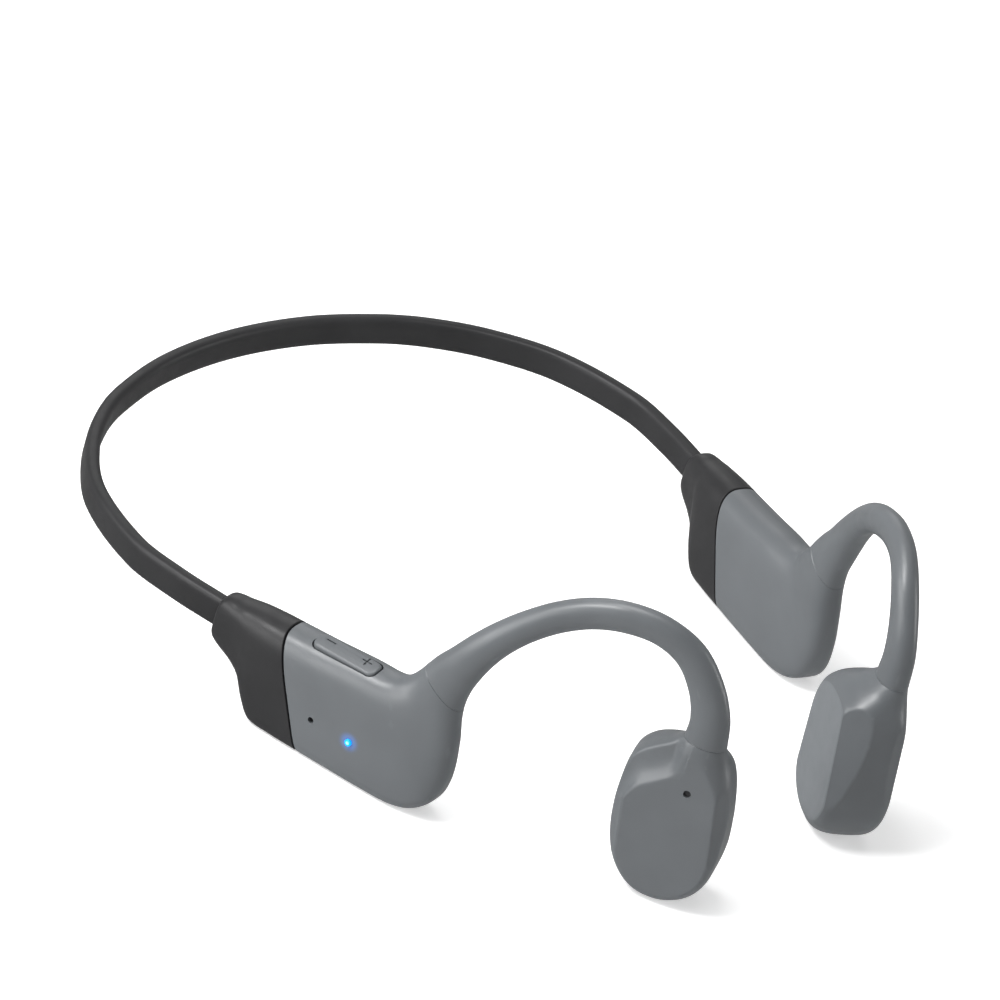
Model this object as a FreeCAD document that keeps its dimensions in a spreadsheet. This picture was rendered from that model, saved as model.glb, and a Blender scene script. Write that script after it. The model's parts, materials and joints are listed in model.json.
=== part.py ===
"""Bone conduction headphones: neckband, two arm boxes, two ear hooks and two transducer pods.

Frame: millimetres, +Z up, +Y towards the back of the neckband, -Y towards the pods,
origin at the bottom centre of the resting headphones. The wearer's right is -X.
"""
import FreeCAD
import Part
import math
import os

V = FreeCAD.Vector
doc = FreeCAD.newDocument("bone_conduction_headphones")

# ---------------------------------------------------------------- driving dimensions
DIMENSIONS = {
    "floor_lift": 14.2,          # height of the neckband's middle plane over the resting surface
    "centre_shift": 8.75,         # moves the origin to the middle of the depth
    "toe_angle": 13.8,           # inward turn of each arm box, degrees
    "hook_toe_angle": 33.0,      # inward turn of the ear hook's plane, degrees
    "pod_toe_angle": 29.0,       # inward turn of the pod faces, degrees
    "band_height": 5.4,
    "band_thickness": 2.6,
    "band_edge_radius": 1.1,
    "band_wire_radius": 0.55,
    "band_cable_radius": 0.4,
    "passage_gap": 0.05,
    "housing_wall": 1.3,
    "gasket_thickness": 0.4,
    "gasket_inset": 0.35,
    "mouth_pocket_height": 6.0,
    "mouth_pocket_width": 3.9,
    "mouth_pocket_depth": 3.0,
    "anchor_length": 9.0,
    "anchor_width": 3.4,
    "anchor_height": 4.0,
    "board_length": 19.0,
    "board_height": 10.0,
    "board_thickness": 0.9,
    "board_hole_radius": 0.6,
    "radio_chip_length": 6.0,
    "radio_chip_thickness": 0.9,
    "codec_chip_length": 4.0,
    "codec_chip_thickness": 0.8,
    "crystal_length": 2.4,
    "crystal_width": 1.6,
    "rocker_length": 12.2,
    "rocker_width": 3.5,
    "rocker_rise": 0.35,
    "rocker_gap": 0.3,
    "rocker_pin_radius": 0.4,
    "rocker_tilt": 14.0,
    "rocker_pin_length": 4.7,
    "switch_length": 2.6,
    "switch_width": 2.2,
    "switch_height": 0.7,
    "switch_board_length": 11.6,
    "switch_board_width": 2.4,
    "switch_board_thickness": 0.5,
    "led_length": 1.6,
    "led_width": 0.9,
    "led_thickness": 0.6,
    "led_lens_radius": 0.75,
    "mic_hole_radius": 0.45,
    "mic_length": 3.0,
    "mic_width": 2.2,
    "mic_thickness": 1.0,
    "contact_radius": 1.1,
    "contact_depth": 1.6,
    "contact_spacing": 6.0,
    "keeper_magnet_radius": 1.4,
    "keeper_magnet_depth": 1.2,
    "cell_length": 17.0,
    "cell_height": 11.5,
    "cell_thickness": 5.0,
    "cell_edge_radius": 1.2,
    "protection_board_length": 2.0,
    "foam_thickness": 0.8,
    "hook_wire_radius": 0.55,
    "hook_cable_radius": 0.45,
    "hook_cable_offset": 1.35,
    "pod_wall": 1.15,
    "pod_lid_depth": 1.3,
    "lid_gap": 0.04,
    "yoke_radius": 6.3,
    "yoke_height": 3.6,
    "yoke_floor": 0.9,
    "yoke_wall": 0.7,
    "magnet_radius": 4.3,
    "magnet_height": 1.7,
    "top_plate_radius": 4.4,
    "top_plate_height": 0.7,
    "coil_inner_radius": 4.75,
    "coil_outer_radius": 5.25,
    "coil_height": 1.9,
    "spring_outer_radius": 6.3,
    "spring_inner_radius": 5.5,
    "spring_thickness": 0.3,
    "bracket_radius": 5.9,
    "bracket_thickness": 0.8,
    "button_length": 11.0,
    "button_width": 7.4,
    "button_height": 1.5,
    "button_gap": 0.3,
    "button_switch_size": 2.8,
    "button_switch_height": 0.7,
}

sheet = doc.addObject("Spreadsheet::Sheet", "Dims")
for row, (alias, value) in enumerate(DIMENSIONS.items(), start=1):
    sheet.set("A%d" % row, alias)
    sheet.set("B%d" % row, str(value))
    sheet.setAlias("B%d" % row, alias)
doc.recompute()


def dim(alias):
    """Value of one driving dimension."""
    return float(sheet.get(alias))


LIFT = dim("floor_lift")
SHIFT = dim("centre_shift")
UP = V(0, 0, 1)


def flat_direction(angle):
    """Outward horizontal normal of the right side, turned towards the front by angle."""
    turn = math.radians(angle)
    return V(-math.cos(turn), -math.sin(turn), 0)


OUT = flat_direction(dim("toe_angle"))
FORWARD = OUT.cross(UP) * -1
POD_OUT = flat_direction(dim("pod_toe_angle"))
POD_FORWARD = POD_OUT.cross(UP) * -1
ARM_ORIGIN = V(-50.7, -18.4 + SHIFT, LIFT)
POD_ORIGIN = V(-21.5, -71.0 + SHIFT, LIFT)


def arm_point(along, out, height):
    """Point of the right arm: distance forward of the box's rear corner, outward, and height."""
    return ARM_ORIGIN + FORWARD * along + OUT * out + UP * height


def pod_point(along, out, height):
    """Point of the right pod: distance forward, outward, and height from the band plane."""
    return POD_ORIGIN + POD_FORWARD * along + POD_OUT * out + UP * height


def arm_placement(along, out, height):
    """Placement with local X forward, local Y outward-negative and local Z up."""
    rotation = FreeCAD.Rotation(FORWARD, OUT * -1, UP, "XYZ")
    return FreeCAD.Placement(arm_point(along, out, height), rotation)


def pod_placement(along, out, height):
    """Placement with local Z pointing outward from the head and local Y up."""
    rotation = FreeCAD.Rotation(UP.cross(POD_OUT), UP, POD_OUT, "XYZ")
    return FreeCAD.Placement(pod_point(along, out, height), rotation)


# ---------------------------------------------------------------- section tools
def rounded_loop(centre, axis_high, axis_out, half_high, half_low_width, half_top_width,
                 power_low, power_top, inset=0.0, count=24):
    """Closed smooth section; its width grows from the low edge to the top edge."""
    points = []
    for index in range(count):
        angle = 2 * math.pi * (index + 0.5) / count
        cosine = math.cos(angle)
        sine = math.sin(angle)
        power = power_top if cosine > 0 else power_low
        rise = math.copysign(abs(cosine) ** (2 / power), cosine)
        side = math.copysign(abs(sine) ** (2 / power), sine)
        share = (rise + 1) / 2
        half_width = half_low_width + (half_top_width - half_low_width) * share - inset
        points.append(centre + axis_high * (rise * (half_high - inset)) + axis_out * (side * half_width))
    curve = Part.BSplineCurve()
    steps = [float(index) for index in range(count + 1)]
    curve.interpolate(Points=points, PeriodicFlag=True, Parameters=steps)
    return Part.Wire([curve.toShape()])


def arm_section(station, inset=0.0):
    """Section of the arm between a low edge point and a top edge point."""
    low_along, low_height, top_along, top_height, half_low, half_top, out, power_low, power_top = station
    low = arm_point(low_along, out, low_height)
    top = arm_point(top_along, out, top_height)
    span = top - low
    half_high = span.Length / 2
    span.normalize()
    return rounded_loop((low + top) * 0.5, span, OUT, half_high, half_low, half_top,
                        power_low, power_top, inset)


def pod_section(station, inset=0.0):
    """Horizontal section of the pod."""
    height, rear, front, inner, outer, power = station
    centre = pod_point((rear + front) / 2, (inner + outer) / 2, height)
    half = (outer - inner) / 2
    return rounded_loop(centre, POD_FORWARD, POD_OUT, (front - rear) / 2, half, half, power, power, inset)


def refine(stations, pieces):
    """Insert smoothly blended stations between the given ones."""
    marks = [0.0]
    for before, after in zip(stations, stations[1:]):
        step = math.sqrt(sum((b - a) ** 2 for a, b in zip(before[:4], after[:4])))
        marks.append(marks[-1] + step)
    slopes = []
    for index in range(len(stations)):
        low = max(index - 1, 0)
        high = min(index + 1, len(stations) - 1)
        width = marks[high] - marks[low]
        slopes.append([(b - a) / width for a, b in zip(stations[low], stations[high])])
    dense = [tuple(stations[0])]
    for index in range(len(stations) - 1):
        width = marks[index + 1] - marks[index]
        for piece in range(1, pieces + 1):
            t = piece / pieces
            values = []
            for a, b, ma, mb in zip(stations[index], stations[index + 1], slopes[index], slopes[index + 1]):
                curve = (2 * t ** 3 - 3 * t ** 2 + 1) * a + (3 * t ** 2 - 2 * t ** 3) * b
                curve += width * ((t ** 3 - 2 * t ** 2 + t) * ma + (t ** 3 - t ** 2) * mb)
                values.append(curve)
            dense.append(tuple(values))
    return dense


def skin(sections):
    """Solid through a dense run of sections."""
    return Part.makeLoft(sections, True, True)


def tube_section(centre, direction, out_hint, half_high, half_wide):
    """Oval section of the ear hook, square to its run."""
    out = out_hint - direction * out_hint.dot(direction)
    out.normalize()
    high = out.cross(direction)
    return rounded_loop(centre, high, out, half_high, half_wide, half_wide, 2.1, 2.1)


def sweep_round(points, radius):
    """Round rod along a smooth path."""
    curve = Part.BSplineCurve()
    curve.interpolate(points)
    path = Part.Wire([curve.toShape()])
    direction = curve.tangent(curve.FirstParameter)[0]
    ring = Part.Wire([Part.makeCircle(radius, points[0], direction)])
    return path.makePipeShell([ring], True, True)


def mirrored(shape):
    """The same shape on the wearer's left."""
    return shape.mirror(V(0, 0, 0), V(1, 0, 0))


NODES = []


def keep(node):
    """Register a finished sub-part."""
    NODES.append(node)
    return node


def freeform(name, shape):
    """Sub-part whose surface is lofted or swept."""
    feature = doc.addObject("Part::Feature", name)
    feature.Label = name
    feature.Shape = shape
    return keep(feature)


def bind(feature, links):
    """Tie properties of a feature to the driving dimensions."""
    for prop, expression in links.items():
        feature.setExpression(prop, expression)


def cuboid(name, length, width, height, placement):
    """Box primitive centred on its placement's X and Y, with its base on Z."""
    box = doc.addObject("Part::Box", name)
    bind(box, {"Length": length, "Width": width, "Height": height})
    doc.recompute()
    offset = FreeCAD.Placement(V(-box.Length.Value / 2, -box.Width.Value / 2, 0), FreeCAD.Rotation())
    box.Placement = placement.multiply(offset)
    box.Label = name
    return box


def rod(name, radius, height, placement):
    """Cylinder primitive."""
    cylinder = doc.addObject("Part::Cylinder", name)
    bind(cylinder, {"Radius": radius, "Height": height})
    cylinder.Placement = placement
    cylinder.Label = name
    return cylinder


def subtract(name, base, tool):
    """Boolean cut of two features."""
    cut = doc.addObject("Part::Cut", name)
    cut.Base = base
    cut.Tool = tool
    cut.Label = name
    return cut


def both_sides(name, shape):
    """Make the right sub-part and its mirrored left twin."""
    freeform(name + "_right", shape)
    freeform(name + "_left", mirrored(shape))


# ---------------------------------------------------------------- neckband
BAND_HALF = [(-55.5, 0.6), (-57.4, 10.0), (-58.2, 20.4), (-54.2, 35.3), (-46.7, 45.6), (-38.4, 52.5),
             (-30.4, 56.8), (-16.5, 61.3), (0.0, 63.0)]
band_points = [V(x, y + SHIFT, LIFT) for x, y in BAND_HALF]
band_points += [V(-p.x, p.y, p.z) for p in reversed(band_points[:-1])]


def band_curve(height):
    """Centreline of the neckband at one height."""
    curve = Part.BSplineCurve()
    curve.interpolate([V(p.x, p.y, p.z + height) for p in band_points])
    return curve


def band_sweep(half_height, half_width, radius, lift):
    """Flat strip with rounded edges along the neckband."""
    curve = band_curve(lift)
    start = band_points[0] + UP * lift
    along = curve.tangent(curve.FirstParameter)[0]
    across = along.cross(UP)
    across.normalize()
    count = 24
    ring = []
    for index in range(count):
        angle = 2 * math.pi * (index + 0.5) / count
        ring.append((math.cos(angle), math.sin(angle)))
    points = []
    for cosine, sine in ring:
        high = math.copysign(half_height - radius, cosine) + radius * cosine
        side = math.copysign(half_width - radius, sine) + radius * sine
        points.append(start + UP * high + across * side)
    loop = Part.makePolygon(points + [points[0]])
    path = Part.Wire([curve.toShape()])
    return path.makePipeShell([loop], True, True)


band_solid = band_sweep(dim("band_height") / 2, dim("band_thickness") / 2, dim("band_edge_radius"), 0)
WIRE_DROP = -0.9
CABLE_LIFT = 1.2


def band_line(height, radius):
    """Round core along the neckband."""
    curve = band_curve(height)
    start = band_points[0] + UP * height
    ring = Part.Wire([Part.makeCircle(radius, start, curve.tangent(curve.FirstParameter)[0])])
    return Part.Wire([curve.toShape()]).makePipeShell([ring], True, True)


gap = dim("passage_gap")
band_solid = band_solid.cut(band_line(WIRE_DROP, dim("band_wire_radius") + gap))
band_solid = band_solid.cut(band_line(CABLE_LIFT, dim("band_cable_radius") + gap))
freeform("band_cover", band_solid)
freeform("band_core_wire", band_line(WIRE_DROP, dim("band_wire_radius")))
freeform("band_cable", band_line(CABLE_LIFT, dim("band_cable_radius")))

# ---------------------------------------------------------------- arm stations (right side)
# low edge (forward, height), top edge (forward, height), half width low, half width top,
# outward offset, corner powers low and top
SEAM = (1.5, -14.1, -7.7, 5.4, 4.1, 5.4, 0.0, 4.2, 2.5)
BOX_STATIONS = [
    SEAM,
    (7.6, -14.1, 0.6, 5.9, 4.1, 5.5, 0.0, 4.2, 2.5),
    (14.0, -14.1, 8.0, 6.4, 4.1, 5.4, 0.0, 4.2, 2.5),
    (19.4, -14.0, 11.6, 6.6, 4.0, 5.2, 0.0, 4.0, 2.5),
    (23.2, -13.0, 13.2, 6.9, 3.9, 5.0, 0.0, 3.6, 2.5),
    (26.0, -10.3, 14.2, 7.3, 3.6, 4.6, 0.0, 3.2, 2.5),
    (27.1, -5.8, 15.1, 7.9, 3.3, 4.2, -0.1, 2.8, 2.4),
    (26.7, 0.2, 15.9, 8.8, 3.1, 3.7, -0.3, 2.5, 2.4),
    (25.9, 4.2, 16.8, 10.2, 3.0, 3.4, -0.4, 2.3, 2.2),
    (25.6, 7.0, 17.7, 11.9, 2.9, 3.2, -0.5, 2.2, 2.2),
]
NECK_SEAM = BOX_STATIONS[-1]
NECK_STATIONS = [
    NECK_SEAM,
    (25.8, 9.8, 18.9, 14.0, 2.85, 3.0, -0.65, 2.1, 2.1),
    (26.6, 12.8, 20.6, 16.4, 2.8, 2.85, -0.8, 2.1, 2.1),
]
BOOT_STATIONS = [
    (-20.0, -3.9, -20.0, 3.4, 2.7, 2.6, 0.1, 3.2, 3.0),
    (-19.2, -4.5, -19.2, 4.0, 2.9, 2.8, 0.1, 3.3, 2.9),
    (-17.6, -5.2, -18.0, 4.3, 3.1, 3.2, 0.1, 3.4, 2.8),
    (-15.2, -6.1, -16.6, 4.4, 3.3, 3.7, 0.1, 3.5, 2.7),
    (-12.9, -7.9, -15.2, 4.6, 3.4, 4.2, 0.1, 3.6, 2.6),
    (-10.9, -11.4, -13.8, 4.9, 3.7, 4.7, 0.0, 3.8, 2.5),
    (-8.7, -13.8, -12.3, 5.1, 3.9, 5.1, 0.0, 4.0, 2.5),
    (-4.4, -14.1, -10.4, 5.25, 4.1, 5.3, 0.0, 4.2, 2.5),
]
TUBE_PATH = [
    (-43.2, -42.9, 18.4, 3.1, 2.75, 20.0),
    (-41.8, -45.3, 22.1, 2.8, 2.7, 24.0),
    (-39.6, -48.0, 25.5, 2.65, 2.65, 28.0),
    (-36.9, -51.3, 28.9, 2.55, 2.6, 31.0),
    (-34.0, -55.1, 31.5, 2.5, 2.6, 33.0),
    (-31.1, -59.6, 33.1, 2.5, 2.6, 33.0),
    (-27.9, -64.4, 32.8, 2.55, 2.6, 33.0),
    (-24.9, -68.9, 30.2, 2.7, 2.65, 33.0),
    (-23.1, -72.3, 25.5, 2.9, 2.65, 31.0),
    (-22.3, -74.2, 20.7, 3.1, 2.65, 29.0),
    (-22.2, -74.4, 16.1, 3.25, 2.65, 29.0),
]


def shifted_station(station, distance):
    """The same section moved along the arm."""
    return (station[0] + distance, station[1], station[2] + distance) + station[3:]


seam_boot_side = shifted_station(SEAM, -dim("gasket_thickness"))
BOOT_RUN = refine(BOOT_STATIONS + [seam_boot_side], 2)
BOX_RUN = refine(BOX_STATIONS, 2)
boot_solid = skin([arm_section(station) for station in BOOT_RUN])
box_solid = skin([arm_section(station) for station in BOX_RUN])

# ear hook, lofted from the neck seam to the pod seam
tube_centres = [V(x, y + SHIFT, z + LIFT) for x, y, z, a, b, turn in TUBE_PATH]
neck_centre = (arm_point(26.6, -0.8, 12.8) + arm_point(20.6, -0.8, 16.4)) * 0.5
hook_sections = [arm_section(station) for station in NECK_STATIONS]
for index, (x, y, z, half_high, half_wide, turn) in enumerate(TUBE_PATH):
    before = tube_centres[index - 1] if index > 0 else neck_centre
    after = tube_centres[index + 1] if index + 1 < len(TUBE_PATH) else tube_centres[index]
    run = after - before
    if index + 1 == len(TUBE_PATH):
        run = UP * -1
    run.normalize()
    hook_sections.append(tube_section(tube_centres[index], run, flat_direction(turn), half_high, half_wide))
hook_solid = Part.makeLoft(hook_sections, True)

# metal core and cable of the hook
core_path = [arm_point(20.8, -0.4, -4.0), arm_point(20.9, -0.5, 2.0), arm_point(21.5, -0.6, 8.0), neck_centre]
core_path += tube_centres + [tube_centres[-1] - UP * 4.0]
hook_wire = sweep_round(core_path, dim("hook_wire_radius"))
side = flat_direction(26.0) * dim("hook_cable_offset")
cable_path = [point + side for point in core_path]
hook_cable = sweep_round(cable_path, dim("hook_cable_radius"))
wire_passage = sweep_round(core_path, dim("hook_wire_radius") + gap)
cable_passage = sweep_round(cable_path, dim("hook_cable_radius") + gap)
both_sides("hook_cover", hook_solid.cut(wire_passage).cut(cable_passage))
both_sides("hook_wire", hook_wire)
both_sides("hook_cable", hook_cable)

# ---------------------------------------------------------------- boots and seam gaskets
pocket = Part.makeBox(dim("mouth_pocket_depth") + 2, dim("mouth_pocket_width"), dim("mouth_pocket_height"),
                      V(-2, -dim("mouth_pocket_width") / 2, -dim("mouth_pocket_height") / 2))
pocket.Placement = arm_placement(BOOT_STATIONS[0][0], 0.1, 0)
boot_hollow = skin([arm_section(station, dim("housing_wall")) for station in BOOT_RUN[9:-1]]
                   + [arm_section(shifted_station(seam_boot_side, 0.5), dim("housing_wall"))])
anchor = Part.makeBox(dim("anchor_length"), dim("anchor_width"), dim("anchor_height"),
                      V(0, -dim("anchor_width") / 2, -dim("anchor_height") / 2))
anchor = anchor.makeFillet(0.6, anchor.Edges)
anchor.Placement = arm_placement(-16.6, 0.1, -0.6)
both_sides("wire_anchor", anchor)
both_sides("boot", boot_solid.cut(pocket).cut(boot_hollow).cut(anchor))

gasket_inset = dim("gasket_inset")
gasket = Part.makeLoft([arm_section(seam_boot_side, gasket_inset), arm_section(SEAM, gasket_inset)], True)
gasket_window = Part.makeLoft([arm_section(shifted_station(seam_boot_side, -0.5), 2.2),
                               arm_section(shifted_station(SEAM, 0.5), 2.2)], True)
both_sides("seam_gasket", gasket.cut(gasket_window))

# ---------------------------------------------------------------- housings
box_hollow = skin([arm_section(shifted_station(SEAM, -0.5), dim("housing_wall"))]
                  + [arm_section(station, dim("housing_wall")) for station in BOX_RUN[1:12]])
housing = box_solid.cut(box_hollow).cut(wire_passage).cut(cable_passage)

# volume rocker on the outer shoulder of the right box
tilt = math.radians(dim("rocker_tilt"))
ROCKER_UP = UP * math.cos(tilt) + OUT * math.sin(tilt)
ROCKER_ACROSS = FORWARD.cross(ROCKER_UP)
CROWN = BOX_STATIONS[1]
rocker_rotation = FreeCAD.Rotation(FORWARD, ROCKER_ACROSS * -1, ROCKER_UP, "XYZ")
ROCKER_CENTRE = arm_point(4.2, 0.2, 2.6)


def rocker_block(margin, low):
    """Block along the rocker, from a low level to beyond the surface."""
    length = dim("rocker_length") + 2 * margin
    width = dim("rocker_width") + 2 * margin
    block = Part.makeBox(length, width, 8, V(-length / 2, -width / 2, low))
    block = block.makeFillet(width / 2 - 0.35, [edge for edge in block.Edges
                                                if abs(edge.Vertexes[0].Z - edge.Vertexes[1].Z) > 7])
    block.Placement = FreeCAD.Placement(ROCKER_CENTRE, rocker_rotation)
    return block


proud_solid = skin([arm_section(shifted_station(SEAM, -0.6), -dim("rocker_rise"))]
                   + [arm_section(station, -dim("rocker_rise")) for station in BOX_RUN[1:9]])
rocker_key = rocker_block(0, 1.0).common(proud_solid)
rocker_slot = rocker_block(dim("rocker_gap"), 0.4)
pin_level = 1.9
pin_start = ROCKER_CENTRE + ROCKER_UP * pin_level - ROCKER_ACROSS * (dim("rocker_pin_length") / 2)
rocker_pin = Part.makeCylinder(dim("rocker_pin_radius"), dim("rocker_pin_length"), pin_start, ROCKER_ACROSS)
pin_hole = Part.makeCylinder(dim("rocker_pin_radius") + 0.06, dim("rocker_pin_length") + 4,
                             pin_start - ROCKER_ACROSS * 2, ROCKER_ACROSS)
freeform("volume_rocker", rocker_key.cut(pin_hole))
freeform("rocker_pin", rocker_pin)

# openings of the right box
MIC_AT = (2.8, -6.3)
LED_AT = (10.4, -6.2)
mic_hole = Part.makeCylinder(dim("mic_hole_radius"), 8, arm_point(MIC_AT[0], 0, MIC_AT[1]), OUT)
led_hole = Part.makeCylinder(dim("led_lens_radius") + 0.02, 8, arm_point(LED_AT[0], 0, LED_AT[1]), OUT)
contact_holes = []
for offset in (-0.5, 0.5):
    start = arm_point(9.5 + offset * dim("contact_spacing"), 0, -4.0)
    contact_holes.append(Part.makeCylinder(dim("contact_radius") + 0.02, 9, start, OUT * -1))
right_shell = housing.cut(rocker_slot).cut(rocker_pin).cut(mic_hole).cut(led_hole)
for hole in contact_holes:
    right_shell = right_shell.cut(hole)
freeform("right_housing", right_shell)
freeform("left_housing", mirrored(housing))

# ---------------------------------------------------------------- electronics of the right box
board_place = FreeCAD.Placement(arm_point(10.0, 1.0, -6.0), FreeCAD.Rotation(FORWARD, UP, OUT * 1, "XYZ"))
board = doc.addObject("PartDesign::Body", "main_board")
board.Label = "main_board"
outline = board.newObject("Sketcher::SketchObject", "board_outline")
origin_plane = [item for item in board.Origin.OriginFeatures if item.Role == "XY_Plane"][0]
outline.AttachmentSupport = [(origin_plane, "")]
outline.MapMode = "FlatFace"
half_length = dim("board_length") / 2
half_height = dim("board_height") / 2
corners = [V(-half_length, -half_height, 0), V(half_length, -half_height, 0),
           V(half_length, half_height, 0), V(-half_length, half_height, 0)]
for index in range(4):
    outline.addGeometry(Part.LineSegment(corners[index], corners[(index + 1) % 4]), False)
for x_hole in (-half_length + 1.4, half_length - 1.4):
    outline.addGeometry(Part.Circle(V(x_hole, half_height - 1.4, 0), V(0, 0, 1), dim("board_hole_radius")), False)
board_pad = board.newObject("PartDesign::Pad", "board_pad")
board_pad.Profile = outline
bind(board_pad, {"Length": "Dims.board_thickness"})
board.Tip = board_pad
board.Placement = board_place
doc.recompute()
keep(board)


def on_board(name, along, height, length, width, thickness):
    """Component standing on the outer side of the main board."""
    start = arm_point(along, 1.0 + dim("board_thickness"), height)
    place = FreeCAD.Placement(start, FreeCAD.Rotation(FORWARD, UP, OUT, "XYZ"))
    return keep(cuboid(name, length, width, thickness, place))


on_board("radio_chip", 14.4, -4.6, "Dims.radio_chip_length", "Dims.radio_chip_length",
         "Dims.radio_chip_thickness")
on_board("codec_chip", 6.6, -3.8, "Dims.codec_chip_length", "Dims.codec_chip_length",
         "Dims.codec_chip_thickness")
on_board("board_crystal", 18.9, -7.8, "Dims.crystal_length", "Dims.crystal_width",
         "Dims.codec_chip_thickness")
on_board("mems_microphone", MIC_AT[0], MIC_AT[1], "Dims.mic_length", "Dims.mic_width", "Dims.mic_thickness")
on_board("status_led", LED_AT[0], LED_AT[1], "Dims.led_length", "Dims.led_width", "Dims.led_thickness")

# light window of the status lamp, flush with the outer face
lens = Part.makeCylinder(dim("led_lens_radius"), 8, arm_point(LED_AT[0], 2.7, LED_AT[1]), OUT)
freeform("led_window", lens.common(box_solid))

# switch strip under the rocker
strip_place = FreeCAD.Placement(ROCKER_CENTRE + ROCKER_UP * -1.1, rocker_rotation)
keep(cuboid("switch_strip", "Dims.switch_board_length", "Dims.switch_board_width",
            "Dims.switch_board_thickness", strip_place))
for label, offset in (("switch_rear", -3.9), ("switch_front", 3.9)):
    at = ROCKER_CENTRE + FORWARD * offset + ROCKER_UP * (-1.1 + dim("switch_board_thickness"))
    keep(cuboid(label, "Dims.switch_length", "Dims.switch_width", "Dims.switch_height",
                FreeCAD.Placement(at, rocker_rotation)))

# charging contacts and keeper magnets in the inner wall
inward = FreeCAD.Rotation(V(0, 0, 1), OUT * -1)
contact_labels = ("charge_contact_rear", "charge_contact_front")
for label, offset in zip(contact_labels, (-0.5, 0.5)):
    start = arm_point(9.5 + offset * dim("contact_spacing"), -2.6, -4.0)
    pin = Part.makeCylinder(dim("contact_radius"), 6, start, OUT * -1).common(box_solid)
    freeform(label, pin)
for label, offset in (("keeper_magnet_rear", -2.0), ("keeper_magnet_front", 2.0)):
    place = FreeCAD.Placement(arm_point(9.5 + offset * 3.6, -1.6, -4.0), inward)
    keep(rod(label, "Dims.keeper_magnet_radius", "Dims.keeper_magnet_depth", place))

# ---------------------------------------------------------------- battery side
cell_at = FreeCAD.Placement(arm_point(9.0, 0, -9.6), FreeCAD.Rotation(FORWARD, OUT * -1, UP, "XYZ"))
cell = Part.makeBox(dim("cell_length"), dim("cell_thickness"), dim("cell_height"),
                    V(-dim("cell_length") / 2, -dim("cell_thickness") / 2, 0))
cell = cell.makeFillet(dim("cell_edge_radius"), cell.Edges)
cell.Placement = cell_at
freeform("battery_cell", mirrored(cell))
end_board = Part.makeBox(dim("protection_board_length"), 4.4, 9.0, V(-1, -2.2, 0.8))
end_board.Placement = FreeCAD.Placement(arm_point(18.9, 0, -9.6), cell_at.Rotation)
freeform("battery_board", mirrored(end_board))
foam = Part.makeBox(12, 3.4, dim("foam_thickness"), V(-6, -1.7, 0))
foam.Placement = FreeCAD.Placement(arm_point(9.0, 0, -9.6 + dim("cell_height") + 0.05), cell_at.Rotation)
freeform("battery_foam", mirrored(foam))

# ---------------------------------------------------------------- pods
# height, rear, front, inner, outer, corner power
POD_STATIONS = [
    (16.1, -0.5, 6.1, -0.2, 5.1, 2.1),
    (14.2, -1.4, 7.0, -1.2, 5.3, 2.2),
    (12.6, -3.4, 8.0, -2.8, 5.5, 2.4),
    (11.2, -5.6, 8.9, -4.2, 5.7, 2.7),
    (8.8, -7.4, 9.8, -5.1, 5.9, 3.0),
    (4.5, -8.2, 10.5, -5.6, 6.1, 3.2),
    (0.0, -8.3, 10.8, -5.7, 6.2, 3.2),
    (-4.5, -7.7, 10.7, -5.7, 6.2, 3.2),
    (-8.5, -6.3, 9.9, -5.3, 6.0, 3.0),
    (-11.6, -4.3, 8.1, -4.5, 5.4, 2.7),
    (-13.4, -2.2, 5.8, -3.2, 4.4, 2.4),
    (-14.2, -0.2, 3.8, -1.4, 2.6, 2.2),
]
POD_RUN = refine(POD_STATIONS, 2)
pod_solid = skin([pod_section(station) for station in POD_RUN])
pod_hollow = skin([pod_section(station, dim("pod_wall")) for station in POD_RUN[8:19]])

LID_PLANE = -5.7 + dim("pod_lid_depth")


def beyond(along, out, height, normal):
    """Everything past a plane through a pod point."""
    place = FreeCAD.Placement(pod_point(along, out, height), FreeCAD.Rotation(V(0, 0, 1), normal))
    block = Part.makeBox(60, 60, 20, V(-30, -30, 0))
    block.Placement = place
    return block


# flat outer facet with a bevel along its front edge
pod_solid = pod_solid.cut(beyond(0, 5.75, 0, POD_OUT))
pod_solid = pod_solid.cut(beyond(8.75, 5.75, 3.0, POD_FORWARD * 0.82 + POD_OUT * 0.57 + UP * 0.143))


def inner_slab(depth):
    """Everything on the head side of a plane parallel to the contact face."""
    slab = Part.makeBox(40, 60, 30, V(-20, -30, -30))
    slab.Placement = pod_placement(2, depth, 0)
    return slab


FACE_PLANE = -5.5
pod_lid = pod_solid.common(inner_slab(LID_PLANE)).cut(inner_slab(FACE_PLANE))
pod_tub = pod_solid.cut(inner_slab(LID_PLANE + dim("lid_gap"))).cut(pod_hollow)
pod_tub = pod_tub.cut(wire_passage).cut(cable_passage)

DRIVER_AT = (1.9, -1.4)
driver_well = Part.makeCylinder(dim("yoke_radius") + 0.35, 4.6,
                                pod_point(DRIVER_AT[0], LID_PLANE, DRIVER_AT[1]), POD_OUT)
pod_tub = pod_tub.cut(driver_well)
lid_recess = Part.makeCylinder(dim("bracket_radius") + 0.02, dim("bracket_thickness"),
                               pod_point(DRIVER_AT[0], LID_PLANE - dim("bracket_thickness"), DRIVER_AT[1]), POD_OUT)
both_sides("contact_pad", pod_lid.cut(lid_recess))

pod_mic_hole = Part.makeCylinder(0.55, 8, pod_point(3.2, 1.5, 7.6), POD_OUT)
freeform("pod_shell_right", pod_tub.cut(pod_mic_hole))
pod_mic = Part.makeBox(2.6, 2.0, 0.9, V(-1.3, -1.0, 0))
pod_mic.Placement = pod_placement(3.2, 3.3, 6.8)
freeform("pod_microphone", pod_mic)

# function button on the left pod's outer face
button_at = pod_placement(1.6, 0, -2.0)


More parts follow.
